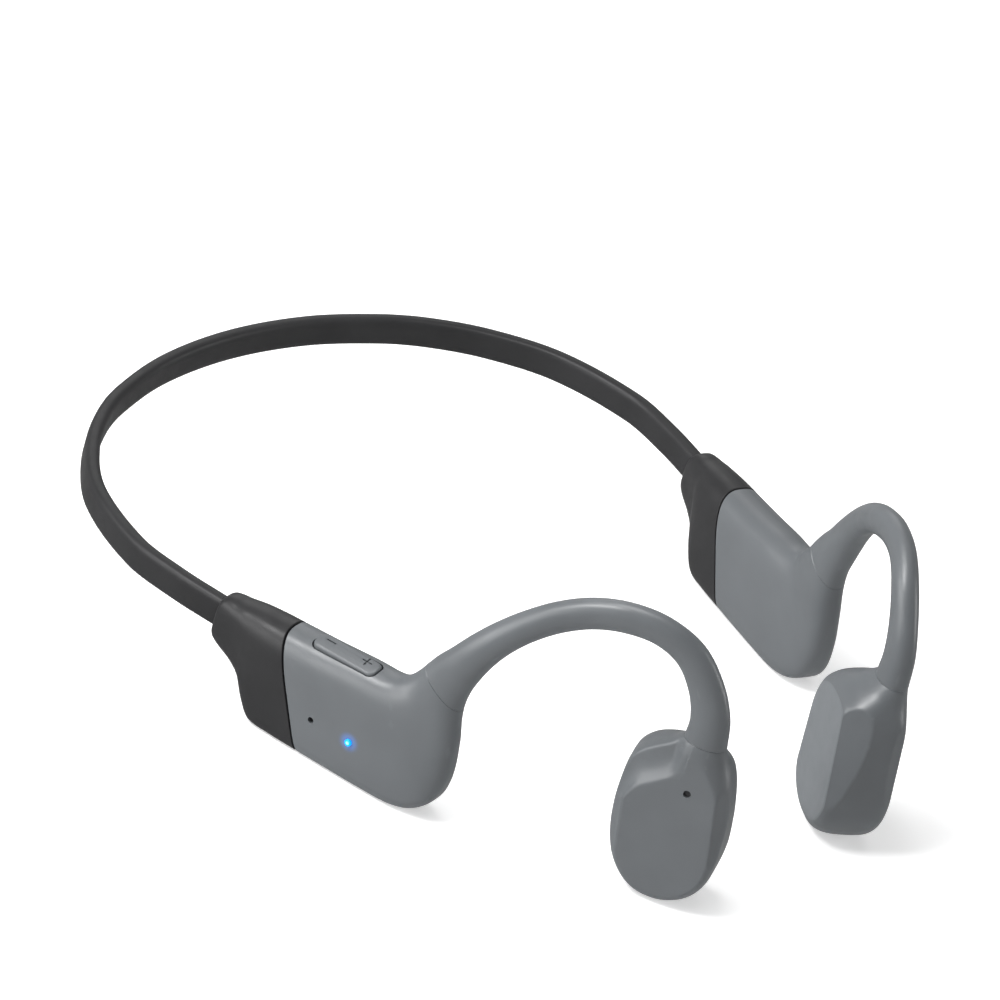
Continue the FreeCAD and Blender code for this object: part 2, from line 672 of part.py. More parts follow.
def button_block(margin, low, high):
    """Rounded bar of the function button."""
    width = dim("button_width") + 2 * margin
    length = dim("button_length") + 2 * margin
    bar = Part.makeBox(width, length, high - low, V(-width / 2, -length / 2, low))
    bar = bar.makeFillet(width / 2 - 0.4, [edge for edge in bar.Edges
                                           if abs(edge.Vertexes[0].Z - edge.Vertexes[1].Z) > 0.5])
    bar.Placement = button_at
    return bar


button_face = 6.55
button = button_block(0, button_face - dim("button_height"), button_face)
button_slot = button_block(dim("button_gap"), 3.5, 9.0)
freeform("pod_shell_left", mirrored(pod_tub.cut(button_slot)))
freeform("function_button", mirrored(button))
plate = Part.makeBox(7.0, 9.6, 0.5, V(-3.5, -4.8, 3.15))
plate.Placement = button_at
freeform("button_board", mirrored(plate))
clicker = Part.makeBox(dim("button_switch_size"), dim("button_switch_size"), dim("button_switch_height"),
                       V(-dim("button_switch_size") / 2, -dim("button_switch_size") / 2, 3.65))
clicker.Placement = button_at
freeform("button_switch", mirrored(clicker))


# ---------------------------------------------------------------- transducers
def driver_ring(outer, inner, base, height):
    """Ring or disc square to the contact face; base is the outward distance."""
    start = pod_point(DRIVER_AT[0], base, DRIVER_AT[1])
    disc = Part.makeCylinder(outer, height, start, POD_OUT)
    if inner > 0:
        disc = disc.cut(Part.makeCylinder(inner, height, start, POD_OUT))
    return disc


bracket_base = LID_PLANE - dim("bracket_thickness")
bracket = driver_ring(dim("bracket_radius"), 0, bracket_base, dim("bracket_thickness"))
coil_base = LID_PLANE
coil = driver_ring(dim("coil_outer_radius"), dim("coil_inner_radius"), coil_base, dim("coil_height"))
plate_base = coil_base + 0.5
top_plate = driver_ring(dim("top_plate_radius"), 0, plate_base, dim("top_plate_height"))
magnet_base = plate_base + dim("top_plate_height")
magnet = driver_ring(dim("magnet_radius"), 0, magnet_base, dim("magnet_height"))
yoke_top = magnet_base + dim("magnet_height") + dim("yoke_floor")
yoke_base = yoke_top - dim("yoke_height") + 0.4
yoke = driver_ring(dim("yoke_radius"), 0, yoke_base, yoke_top - yoke_base)
yoke_cup = driver_ring(dim("yoke_radius") - dim("yoke_wall"), 0, yoke_base,
                       yoke_top - yoke_base - dim("yoke_floor"))
yoke = yoke.cut(yoke_cup)
both_sides("drive_bracket", bracket)
both_sides("voice_coil", coil)
both_sides("driver_top_plate", top_plate)
both_sides("driver_magnet", magnet)
both_sides("driver_yoke", yoke)

# ---------------------------------------------------------------- checks and files
doc.recompute()
os.makedirs("parts", exist_ok=True)
for node in NODES:
    if "Invalid" in node.State or "Error" in node.State:
        raise RuntimeError("feature in error: " + node.Label)
    if node.Shape.isNull() or not node.Shape.isValid():
        raise RuntimeError("bad shape: " + node.Label)
    node.Shape.exportStep(os.path.join("parts", node.Label + ".step"))
    print(node.Label, len(node.Shape.Solids), round(node.Shape.Volume, 2))
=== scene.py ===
import bpy
import bmesh
import json
import math
import numpy as np
from mathutils import Matrix, Vector


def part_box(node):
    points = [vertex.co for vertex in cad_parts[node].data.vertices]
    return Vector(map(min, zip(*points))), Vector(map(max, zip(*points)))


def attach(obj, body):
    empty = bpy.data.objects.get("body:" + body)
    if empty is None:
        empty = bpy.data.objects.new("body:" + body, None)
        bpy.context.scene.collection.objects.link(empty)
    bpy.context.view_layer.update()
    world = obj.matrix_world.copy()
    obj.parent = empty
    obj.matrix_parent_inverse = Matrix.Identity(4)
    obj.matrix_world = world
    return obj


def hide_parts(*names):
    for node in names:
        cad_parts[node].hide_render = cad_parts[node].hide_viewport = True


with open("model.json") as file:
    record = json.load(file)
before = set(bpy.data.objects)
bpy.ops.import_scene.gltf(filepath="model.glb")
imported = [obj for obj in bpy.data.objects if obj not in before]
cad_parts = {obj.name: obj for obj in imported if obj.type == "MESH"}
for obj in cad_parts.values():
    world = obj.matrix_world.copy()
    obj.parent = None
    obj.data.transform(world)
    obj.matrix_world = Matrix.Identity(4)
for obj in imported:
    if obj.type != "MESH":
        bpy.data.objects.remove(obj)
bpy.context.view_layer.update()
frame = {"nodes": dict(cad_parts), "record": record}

# ---------------------------------------------------------------- shared frame, millimetres
MM = 0.001
STRIP_BACK = 64.3       # back of the neckband in the measures of the stations below
ARM_TURN = 13.8         # degrees by which each arm and each pod turns in towards the front
POD_TURN = 29.0
band_low, band_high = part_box("band_cover")
LIFT = (band_low[2] + band_high[2]) / 2 / MM
SHIFT = band_high[1] / MM - STRIP_BACK
UP = np.array([0.0, 0.0, 1.0])
MIRROR = np.array([-1, 1, 1])


def flat_direction(angle):
    """Outward horizontal normal of the right side, turned towards the front."""
    turn = math.radians(angle)
    return np.array([-math.cos(turn), -math.sin(turn), 0.0])


OUT = flat_direction(ARM_TURN)
FORWARD = -np.cross(OUT, UP)
POD_OUT = flat_direction(POD_TURN)
POD_FORWARD = -np.cross(POD_OUT, UP)
ARM_ORIGIN = np.array([-50.7, -18.4 + SHIFT, LIFT])
POD_ORIGIN = np.array([-21.5, -71.0 + SHIFT, LIFT])


def arm_point(along, out, height):
    return ARM_ORIGIN + FORWARD * along + OUT * out + UP * height


def pod_point(along, out, height):
    return POD_ORIGIN + POD_FORWARD * along + POD_OUT * out + UP * height


# ---------------------------------------------------------------- loops and skins
ARM_PIECES = 8          # steps between two stations
FINE_PIECES = 14
AROUND = 112            # points around an arm; a pod has twice as many
EDGE_SAMPLES = 1441
MERGE_DISTANCE = 1e-7   # metres
SHARP_ANGLE = 32
CORNER_STEPS = 10
QUARTERS = ((1, 1), (-1, 1), (-1, -1), (1, -1))


def refine(stations, pieces):
    """Smooth run of stations through the given ones."""
    rows = [np.array(s, float) for s in stations]
    marks = [0.0]
    for a, b in zip(rows, rows[1:]):
        marks.append(marks[-1] + np.linalg.norm((b - a)[:3]))
    slopes = []
    for i in range(len(rows)):
        low, high = max(i - 1, 0), min(i + 1, len(rows) - 1)
        slopes.append((rows[high] - rows[low]) / (marks[high] - marks[low]))
    dense = [rows[0]]
    for i in range(len(rows) - 1):
        width = marks[i + 1] - marks[i]
        for piece in range(1, pieces + 1):
            t = piece / pieces
            value = (2 * t**3 - 3 * t**2 + 1) * rows[i] + (3 * t**2 - 2 * t**3) * rows[i + 1]
            value = value + width * ((t**3 - 2 * t**2 + t) * slopes[i] + (t**3 - t**2) * slopes[i + 1])
            dense.append(value)
    return dense


def signed_power(values, power):
    return np.sign(values) * np.abs(values) ** power


def even_angles(power_low, power_top, aspect, count):
    """Angles that space the points of a rounded loop evenly along its edge."""
    fine = np.linspace(0, 2 * math.pi, EDGE_SAMPLES)
    c, s = np.cos(fine), np.sin(fine)
    p = np.where(c > 0, power_top, power_low)
    x, y = signed_power(s, 2 / p), aspect * signed_power(c, 2 / p)
    run = np.concatenate([[0], np.cumsum(np.hypot(np.diff(x), np.diff(y)))])
    return np.interp((np.arange(count) + 0.5) / count * run[-1], run, fine)


def rounded_loop(row, count):
    """row: centre, half-high vector, out vector, half widths low and top, powers low and top."""
    centre, high, out = row[0:3], row[3:6], row[6:9]
    low_width, top_width, power_low, power_top = row[9:13]
    half = np.linalg.norm(high)
    high = high / half
    out = out / np.linalg.norm(out)
    angle = even_angles(power_low, power_top, half / top_width, count)
    power = np.where(np.cos(angle) > 0, power_top, power_low)
    rise = signed_power(np.cos(angle), 2 / power)
    side = signed_power(np.sin(angle), 2 / power)
    width = low_width + (top_width - low_width) * (rise + 1) / 2
    return centre + np.outer(rise * half, high) + np.outer(side * width, out)


def soft_clamp(points, origin, normal, soft):
    """Pull points back behind a plane, with a small soft edge."""
    normal = normal / np.linalg.norm(normal)
    depth = (points - origin) @ normal
    over = soft * np.logaddexp(0, depth / soft)
    return points - np.outer(over, normal)


def smooth(piece):
    for face in piece.data.polygons:
        face.use_smooth = True
    piece.data.set_sharp_from_angle(angle=math.radians(SHARP_ANGLE))


def build_mesh(name, vertices, faces):
    mesh = bpy.data.meshes.new(name)
    mesh.from_pydata([tuple(v * MM) for v in vertices], [], faces)
    mesh.validate()
    work = bmesh.new()
    work.from_mesh(mesh)
    bmesh.ops.remove_doubles(work, verts=work.verts, dist=MERGE_DISTANCE)
    bmesh.ops.recalc_face_normals(work, faces=work.faces)
    work.to_mesh(mesh)
    work.free()
    piece = bpy.data.objects.new(name, mesh)
    bpy.context.scene.collection.objects.link(piece)
    smooth(piece)
    return piece


def skin(loops):
    """Vertices and faces of a tube through closed loops, with capped ends."""
    count = len(loops[0])
    vertices = [v for loop in loops for v in loop]
    faces = []
    for i in range(len(loops) - 1):
        for j in range(count):
            k = (j + 1) % count
            faces.append((i * count + j, i * count + k, (i + 1) * count + k, (i + 1) * count + j))
    for at in (0, len(loops) - 1):
        centre = len(vertices)
        vertices.append(np.mean(loops[at], axis=0))
        for j in range(count):
            faces.append((at * count + j, at * count + (j + 1) % count, centre))
    return vertices, faces


def shrink(loop, amount):
    """The loop pulled in towards its middle by an even amount."""
    middle = loop.mean(axis=0)
    arm = loop - middle
    length = np.linalg.norm(arm, axis=1)[:, None]
    return middle + arm * (1 - amount / length)


def break_edges(loops, size):
    """A small chamfer on both ends of a run of loops."""
    first, last = loops[0], loops[-1]
    start = loops[1] - first
    start = start / np.linalg.norm(start, axis=1)[:, None]
    end = loops[-2] - last
    end = end / np.linalg.norm(end, axis=1)[:, None]
    return [shrink(first, size), first + start * size] + loops[1:-1] + [last + end * size, shrink(last, size)]


def mirror(vertices, faces):
    return [v * MIRROR for v in vertices], [tuple(reversed(f)) for f in faces]


# ---------------------------------------------------------------- stations of the right arm
# They start from the solid model's own and follow the photo a little closer.
def arm_row(low_along, low_height, top_along, top_height, half_low, half_top, out, power_low, power_top):
    """A loop of the arm, from its lowest to its highest point, both in the arm's own measures."""
    low = arm_point(low_along, out, low_height)
    top = arm_point(top_along, out, top_height)
    return np.concatenate([(low + top) / 2, (top - low) / 2, OUT, [half_low, half_top, power_low, power_top]])


BOX_STATIONS = [
    (1.5, -14.1, -6.6, 5.25, 4.3, 5.3, 0.0, 8.0, 2.8),
    (7.6, -14.1, 1.1, 5.75, 4.3, 5.3, 0.0, 8.0, 2.8),
    (14.0, -14.1, 8.0, 6.4, 4.3, 5.2, 0.0, 7.5, 2.8),
    (19.4, -14.0, 11.6, 6.6, 4.2, 5.1, 0.0, 6.5, 2.7),
    (23.2, -13.0, 13.2, 6.9, 4.0, 4.9, 0.0, 5.0, 2.6),
    (26.0, -10.3, 14.2, 7.3, 3.7, 4.6, 0.0, 4.0, 2.5),
    (27.1, -5.8, 15.1, 7.9, 3.3, 4.2, -0.1, 3.2, 2.4),
    (26.7, 0.2, 15.9, 8.8, 3.1, 3.7, -0.3, 2.6, 2.4),
    (25.9, 4.2, 16.8, 10.2, 3.0, 3.4, -0.4, 2.3, 2.2),
    (25.6, 7.0, 17.7, 11.9, 2.9, 3.2, -0.5, 2.2, 2.2),
]
NECK_STATIONS = [
    (25.8, 9.8, 18.9, 14.0, 2.85, 3.0, -0.65, 2.1, 2.1),
    (26.6, 12.8, 20.6, 16.4, 2.8, 2.85, -0.8, 2.1, 2.1),
]
BOOT_STATIONS = [
    (-20.0, -3.7, -20.0, 3.2, 2.55, 2.45, 0.1, 3.4, 3.2),
    (-19.7, -4.1, -19.7, 3.6, 2.75, 2.65, 0.1, 3.5, 3.0),
    (-19.0, -4.6, -19.1, 4.05, 2.95, 2.85, 0.1, 3.6, 2.9),
    (-17.6, -5.2, -18.0, 4.3, 3.1, 3.2, 0.1, 4.0, 2.8),
    (-15.2, -6.1, -16.6, 4.4, 3.3, 3.7, 0.1, 4.8, 2.7),
    (-12.9, -7.9, -15.2, 4.6, 3.45, 4.2, 0.1, 5.5, 2.7),
    (-10.9, -11.4, -13.6, 4.8, 3.75, 4.7, 0.0, 6.5, 2.75),
    (-8.7, -13.8, -12.0, 4.95, 4.0, 5.0, 0.0, 7.5, 2.8),
    (-4.4, -14.1, -9.8, 5.1, 4.2, 5.2, 0.0, 8.0, 2.8),
    (1.14, -14.1, -6.96, 5.25, 4.3, 5.3, 0.0, 8.0, 2.8),
]
# the rest of the hook: centre, half height, half width and the turn of its section, in degrees
HOOK_PATH = [
    (-43.2, -42.9, 18.4, 3.05, 2.7, 20.0),
    (-41.6, -45.1, 22.1, 2.75, 2.5, 24.0),
    (-39.4, -47.8, 25.6, 2.6, 2.3, 28.0),
    (-36.8, -51.1, 28.8, 2.6, 2.2, 31.0),
    (-34.0, -55.1, 31.35, 2.62, 2.15, 33.0),
    (-31.2, -59.8, 32.85, 2.62, 2.15, 33.0),
    (-28.1, -64.7, 32.7, 2.55, 2.15, 33.0),
    (-25.1, -69.1, 30.2, 2.7, 2.2, 33.0),
    (-23.2, -72.5, 25.5, 2.95, 2.3, 31.0),
    (-22.3, -74.4, 20.6, 3.25, 2.5, 29.0),
    (-22.0, -74.8, 16.1, 3.6, 2.65, 29.0),
]
HOOK_POWER = 2.1

box_rows = [arm_row(*s) for s in BOX_STATIONS]
neck_rows = [arm_row(*s) for s in NECK_STATIONS]
centres = [np.array([x, y + SHIFT, z + LIFT]) for x, y, z, *_ in HOOK_PATH]
hook_rows = []
for i, (*_, half_high, half_wide, turn) in enumerate(HOOK_PATH):
    before = centres[i - 1] if i else neck_rows[-1][:3]
    after = centres[i + 1] if i + 1 < len(centres) else centres[i]
    run = -UP if i + 1 == len(centres) else after - before
    run = run / np.linalg.norm(run)
    side = flat_direction(turn)
    side = side - run * (side @ run)
    side = side / np.linalg.norm(side)
    high = np.cross(side, run)
    hook_rows.append(np.concatenate([centres[i], high * half_high, side,
                                     [half_wide, half_wide, HOOK_POWER, HOOK_POWER]]))

arm_loops = [rounded_loop(row, AROUND) for row in refine(box_rows + neck_rows + hook_rows, ARM_PIECES)]
neck_at = (len(BOX_STATIONS) - 1) * ARM_PIECES
box_loops = arm_loops[:neck_at + 1]
hook_loops = arm_loops[neck_at:]
boot_loops = [rounded_loop(row, AROUND) for row in refine([arm_row(*s) for s in BOOT_STATIONS], ARM_PIECES)]

# ---------------------------------------------------------------- pods
# height, then rear, front, inner and outer edge, and the power of the section's roundness
POD_STATIONS = [
    (16.1, -0.6, 6.6, -0.4, 4.9, 2.1),
    (14.4, -2.3, 7.2, -2.0, 5.3, 2.2),
    (12.8, -4.5, 8.0, -4.0, 5.7, 2.5),
    (11.2, -6.3, 8.8, -5.3, 6.0, 2.9),
    (8.8, -7.7, 9.6, -6.0, 6.3, 3.6),
    (4.5, -8.1, 10.4, -6.2, 6.5, 4.8),
    (0.0, -8.0, 10.8, -6.3, 6.6, 5.5),
    (-4.5, -7.4, 10.9, -6.3, 6.6, 5.5),
    (-8.5, -6.0, 10.3, -6.0, 6.5, 4.8),
    (-11.6, -4.1, 8.6, -5.3, 6.2, 3.6),
    (-13.4, -2.1, 6.2, -4.0, 5.4, 2.6),
    (-14.2, -0.2, 4.0, -1.9, 3.5, 2.2),
]
OUTER_FACET = 5.7
FACE_PLANE = -5.5
PAD_SEAM = -5.38
PAD_GAP = 0.01
# flat facets of the pod: a point on each, its direction (forward, outward, upward), and its soft edge
POD_FACETS = [
    ((0.0, OUTER_FACET, 0.0), (0.0, 1.0, 0.02), 0.07),
    ((8.75, OUTER_FACET, 3.0), (0.82, 0.57, 0.143), 0.09),
    ((-6.3, OUTER_FACET, 1.0), (-0.76, 0.65, -0.09), 0.09),
    ((0.0, FACE_PLANE, 0.0), (0.0, -1.0, 0.0), 0.05),
    ((8.3, FACE_PLANE, 0.0), (0.75, -0.63, 0.20), 0.09),
    ((-6.3, FACE_PLANE, 1.0), (-0.76, -0.65, -0.09), 0.12),
]
SCOOP_EDGE = (-1.5, 8.2)            # a point on the scoop's lower edge, forward and up
SCOOP_SLOPE = (-0.602, 0.797)       # the direction across that edge
SCOOP_CORNER, SCOOP_BEND = -4.4, 0.3    # where the edge bends down at the rear, and how much
SCOOP_DEPTH, SCOOP_RUN = 2.4, 2.0
SCOOP_SOFT = 0.12                   # softness of the edge's start
SCOOP_FRONT, SCOOP_FADE = 1.6, 2.8  # where the scoop ends at the front, and over what length it fades
CREASE_SOFT, CREASE_WIDEN, CREASE_RUN = 0.10, 0.30, 1.5
SCOOP_START = 0.02


def pod_row(height, rear, front, inner, outer, power):
    centre = pod_point((rear + front) / 2, (inner + outer) / 2, height)
    half = (outer - inner) / 2
    return np.concatenate([centre, POD_FORWARD * (front - rear) / 2, POD_OUT, [half, half, power, power]])


def scoop(points):
    """Hollow the slope above the outer facet, behind the foot of the hook."""
    along = (points - POD_ORIGIN) @ POD_FORWARD
    out = (points - POD_ORIGIN) @ POD_OUT
    height = points[:, 2] - POD_ORIGIN[2]
    past = SCOOP_SLOPE[0] * (along - SCOOP_EDGE[0]) + SCOOP_SLOPE[1] * (height - SCOOP_EDGE[1])
    past = past + SCOOP_BEND * np.clip(SCOOP_CORNER - along, 0, None) ** 2
    past = SCOOP_SOFT * np.logaddexp(0, past / SCOOP_SOFT)
    fade = np.clip((SCOOP_FRONT - along) / SCOOP_FADE, 0, 1)
    fade = fade * fade * (3 - 2 * fade)
    limit = OUTER_FACET - fade * SCOOP_DEPTH * (1 - np.exp(-past / SCOOP_RUN))
    soft = CREASE_SOFT + CREASE_WIDEN * (1 - np.exp(-past / CREASE_RUN))
    over = soft * np.logaddexp(0, (out - limit) / soft)
    return points - np.outer(over * (fade > 0) * (past > SCOOP_START), POD_OUT)


def pod_loops():
    loops = []
    for row in refine([pod_row(*s) for s in POD_STATIONS], FINE_PIECES):
        loop = rounded_loop(row, 2 * AROUND)
        for place, turn, soft in POD_FACETS:
            normal = POD_FORWARD * turn[0] + POD_OUT * turn[1] + UP * turn[2]
            loop = soft_clamp(loop, pod_point(*place), normal, soft)
        loops.append(scoop(loop))
    return loops


# ---------------------------------------------------------------- materials
def node_material(name):
    material = bpy.data.materials.new(name)
    material.use_nodes = True
    nodes = material.node_tree.nodes
    return material, nodes, material.node_tree.links, nodes["Principled BSDF"]


def set_inputs(node, **values):
    """Set a node's inputs by name; an underscore stands for a space."""
    for name, value in values.items():
        node.inputs[name.replace("_", " ")].default_value = value


def add_node(nodes, kind, **values):
    node = nodes.new("ShaderNode" + kind)
    set_inputs(node, **values)
    return node


def set_ramp(ramp, *stops):
    """Position and colour of a colour ramp's first two stops."""
    for element, (position, colour) in zip(ramp.color_ramp.elements, stops):
        element.position = position
        element.color = list(colour) + [1]


def shade(colour, scale, lift=0.0):
    return [min(1, c * scale + lift) for c in colour]


# edge: how much lighter sharp edges are painted, partly rub wear and partly painted highlight
def moulded(name, colour, roughness, grain_mm, bump, variation=0.06, coat=0.0, edge=0.10, gloss=0.5):
    """Moulded plastic or silicone: fine grain, slow colour drift, and sharp edges painted lighter, partly rub wear
    and partly painted highlight.
    """
    material, nodes, links, shader = node_material(name)
    coords = add_node(nodes, "TexCoord")
    grain = add_node(nodes, "TexNoise", Scale=1000 / grain_mm, Detail=3)
    drift = add_node(nodes, "TexNoise", Scale=90, Detail=2)
    smudge = add_node(nodes, "TexNoise", Scale=320, Detail=5)
    for texture in (grain, drift, smudge):
        links.new(coords.outputs["Object"], texture.inputs["Vector"])
    ramp = add_node(nodes, "ValToRGB")
    set_ramp(ramp, (0.35, shade(colour, 1 - variation)), (0.65, shade(colour, 1 + variation)))
    links.new(drift.outputs["Fac"], ramp.inputs["Fac"])
    speck = add_node(nodes, "MixRGB", Fac=0.06)
    speck.blend_type = "OVERLAY"
    links.new(ramp.outputs["Color"], speck.inputs["Color1"])
    links.new(grain.outputs["Fac"], speck.inputs["Color2"])
    # painted highlight and wear: convex edges, found by pointiness, are painted up to 1.7 times lighter than the
    # base colour
    pointed = add_node(nodes, "NewGeometry")
    edge_wear_and_painted_highlight = add_node(nodes, "MapRange", From_Min=0.52, From_Max=0.62, To_Min=0.0, To_Max=edge)
    links.new(pointed.outputs["Pointiness"], edge_wear_and_painted_highlight.inputs["Value"])
    worn_and_highlit_colour = add_node(nodes, "MixRGB", Color2=shade(colour, 1.7, 0.02) + [1])
    links.new(edge_wear_and_painted_highlight.outputs["Result"], worn_and_highlit_colour.inputs["Fac"])
    links.new(speck.outputs["Color"], worn_and_highlit_colour.inputs["Color1"])
    links.new(worn_and_highlit_colour.outputs["Color"], shader.inputs["Base Color"])
    rough = add_node(nodes, "MapRange", From_Min=0.3, From_Max=0.7, To_Min=roughness - 0.04,
                     To_Max=roughness + 0.05)
    links.new(smudge.outputs["Fac"], rough.inputs["Value"])
    links.new(rough.outputs["Result"], shader.inputs["Roughness"])
    relief = add_node(nodes, "Bump", Strength=bump, Distance=0.00004)
    links.new(grain.outputs["Fac"], relief.inputs["Height"])
    links.new(relief.outputs["Normal"], shader.inputs["Normal"])
    set_inputs(shader, Coat_Weight=coat, Coat_Roughness=0.25, Specular_IOR_Level=gloss)
    return material


def metal(name, colour, roughness, stretch=(1, 1, 1)):
    """Metal with a fine brushed relief, drawn out by stretch."""
    material, nodes, links, shader = node_material(name)
    coords = add_node(nodes, "TexCoord")
    scale = add_node(nodes, "Mapping", Scale=stretch)
    brush = add_node(nodes, "TexNoise", Scale=2600, Detail=4)
    links.new(coords.outputs["Object"], scale.inputs["Vector"])
    links.new(scale.outputs["Vector"], brush.inputs["Vector"])
    ramp = add_node(nodes, "ValToRGB")
    set_ramp(ramp, (0.0, shade(colour, 0.82)), (1.0, shade(colour, 1.1)))
    links.new(brush.outputs["Fac"], ramp.inputs["Fac"])
    links.new(ramp.outputs["Color"], shader.inputs["Base Color"])
    rough = add_node(nodes, "MapRange", To_Min=roughness - 0.08, To_Max=roughness + 0.08)
    links.new(brush.outputs["Fac"], rough.inputs["Value"])
    links.new(rough.outputs["Result"], shader.inputs["Roughness"])
    relief = add_node(nodes, "Bump", Strength=0.15, Distance=0.00002)
    links.new(brush.outputs["Fac"], relief.inputs["Height"])
    links.new(relief.outputs["Normal"], shader.inputs["Normal"])
    set_inputs(shader, Metallic=1.0)
    return material


def distance_to(nodes, links, point):
    """A node that gives the distance of the shaded place from a point of the object."""
    coords = add_node(nodes, "TexCoord")
    gap = add_node(nodes, "VectorMath")
    gap.operation = "DISTANCE"
    gap.inputs[1].default_value = point * MM
    links.new(coords.outputs["Object"], gap.inputs[0])
    return gap


GREY = [0.102, 0.110, 0.117]
LAMP_ALONG, LAMP_HEIGHT, LAMP_OUT = 10.4, -6.2, 4.9
LAMP_POINT = arm_point(LAMP_ALONG, LAMP_OUT, LAMP_HEIGHT)
HALO_INNER, HALO_OUTER = 0.0006, 0.0030         # metres
LENS_SCALE = 1200                               # distance in metres to place on the lens ramp

grey_plastic = moulded("satin_grey_plastic", GREY, 0.35, 0.11, 0.22, 0.04)
hook_silicone = moulded("satin_grey_silicone", GREY, 0.36, 0.13, 0.22, 0.04)
# painted light: the pad's grey is lifted 1.32 times over the housing's grey, standing in for the brighter light on
# the far pod's inner face
lit_pad_silicone = moulded("contact_pad_silicone_painted_light", shade(GREY, 1.32), 0.42, 0.10, 0.26, 0.04)
key_plastic = moulded("key_plastic", shade(GREY, 0.97), 0.38, 0.10, 0.20, 0.04)
band_silicone = moulded("charcoal_silicone", [0.021, 0.021, 0.022], 0.42, 0.12, 0.35, 0.10, edge=0.16, gloss=0.28)
boot_plastic = moulded("boot_plastic", [0.022, 0.022, 0.023], 0.36, 0.11, 0.25, 0.08, edge=0.12, gloss=0.26)
gasket_rubber = moulded("gasket_rubber", [0.006, 0.006, 0.007], 0.60, 0.15, 0.3, 0.15)
dark_mesh = moulded("dark_mesh", [0.018, 0.018, 0.020], 0.8, 0.08, 0.8, 0.2)

# the lamp's light on the housing round it
lit_plastic = grey_plastic.copy()
lit_plastic.name = "satin_grey_plastic_lamp_side"
lit_nodes, lit_links = lit_plastic.node_tree.nodes, lit_plastic.node_tree.links
gap = distance_to(lit_nodes, lit_links, LAMP_POINT)
fall = add_node(lit_nodes, "MapRange", From_Min=HALO_INNER, From_Max=HALO_OUTER, To_Min=1.0, To_Max=0.0)
fall.interpolation_type = "SMOOTHERSTEP"
lit_links.new(gap.outputs["Value"], fall.inputs["Value"])
sharpen = add_node(lit_nodes, "Math")
sharpen.operation = "POWER"
sharpen.inputs[1].default_value = 3.0
lit_links.new(fall.outputs["Result"], sharpen.inputs[0])
glow = add_node(lit_nodes, "MixRGB", Color1=(0, 0, 0, 1), Color2=(0.0, 0.23, 1.0, 1))
lit_links.new(sharpen.outputs["Value"], glow.inputs["Fac"])
lit_shader = lit_nodes["Principled BSDF"]
lit_links.new(glow.outputs["Color"], lit_shader.inputs["Emission Color"])
set_inputs(lit_shader, Emission_Strength=0.34)

lamp, lamp_nodes, lamp_links, lamp_shader = node_material("lamp_window")
lamp_gap = distance_to(lamp_nodes, lamp_links, LAMP_POINT)
lamp_scale = add_node(lamp_nodes, "Math")
lamp_scale.operation = "MULTIPLY"
lamp_scale.inputs[1].default_value = LENS_SCALE
lamp_ramp = add_node(lamp_nodes, "ValToRGB")
set_ramp(lamp_ramp, (0.10, (0.45, 0.93, 1.0)), (0.50, (0.0, 0.28, 0.85)))
lamp_links.new(lamp_gap.outputs["Value"], lamp_scale.inputs[0])
lamp_links.new(lamp_scale.outputs["Value"], lamp_ramp.inputs["Fac"])
for socket in ("Emission Color", "Base Color"):
    lamp_links.new(lamp_ramp.outputs["Color"], lamp_shader.inputs[socket])
set_inputs(lamp_shader, Emission_Strength=1.0, Roughness=0.15)

SLOT_MATERIALS = {
    "soft_charcoal": band_silicone,
    "boot_dark": boot_plastic,
    "gasket_black": gasket_rubber,
    "satin_grey": grey_plastic,
    "hook_grey": hook_silicone,
    "pad_grey": lit_pad_silicone,
    "key_grey": key_plastic,
    "lamp_blue": lamp,
    "spring_steel": metal("spring_wire", [0.60, 0.60, 0.58], 0.35, (1, 1, 6)),
    "bare_metal": metal("plated_sheet", [0.55, 0.55, 0.56], 0.38),
    "magnet_nickel": metal("magnet_nickel", [0.56, 0.55, 0.52], 0.22),
    "gold_plate": metal("gold_plate", [0.83, 0.62, 0.25], 0.28),
    "coil_copper": metal("coil_copper", [0.62, 0.27, 0.12], 0.32, (1, 1, 9)),
    "cell_silver": metal("cell_foil", [0.62, 0.63, 0.65], 0.30),
    "cable_black": moulded("cable_jacket", [0.018, 0.018, 0.019], 0.5, 0.2, 0.2),
    "board_green": moulded("solder_mask", [0.015, 0.11, 0.05], 0.35, 0.4, 0.2, 0.2, coat=0.4),
    "chip_black": moulded("chip_mould", [0.018, 0.018, 0.02], 0.55, 0.09, 0.4),
    "lamp_white": moulded("lamp_body", [0.75, 0.75, 0.68], 0.4, 0.2, 0.1),
    "foam_black": moulded("foam", [0.02, 0.02, 0.022], 0.9, 0.35, 1.0, 0.3),
}


# ---------------------------------------------------------------- piece helpers
def finish_piece(piece, body, material, replaced=()):
    piece.data.materials.clear()
    piece.data.materials.append(material)
    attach(piece, body)
    if replaced:
        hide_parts(*replaced)


def axis_matrix(origin, x_axis, y_axis, z_axis):
    matrix = Matrix.Identity(4)
    for column, axis in enumerate((x_axis, y_axis, z_axis)):
        axis = axis / np.linalg.norm(axis)
        for line in range(3):
            matrix[line][column] = axis[line]
    for line in range(3):
        matrix[line][3] = origin[line] * MM
    return matrix


def placed(vertices, matrix):
    """Vertices moved from a piece's own axes into the shared frame."""
    return [np.array(matrix @ Vector(v * MM)) / MM for v in vertices]


def rounded_outline(length, width, radius):
    corners = []
    for quarter, (sx, sy) in enumerate(QUARTERS):
        for step in range(CORNER_STEPS + 1):
            angle = math.pi / 2 * (quarter + step / CORNER_STEPS)
            corners.append((sx * (length / 2 - radius) + radius * math.cos(angle),
                            sy * (width / 2 - radius) + radius * math.sin(angle)))
    return np.array(corners)


def inset_scale(length, width, inset):
    return np.array([(length / 2 - inset) / (length / 2), (width / 2 - inset) / (width / 2)])


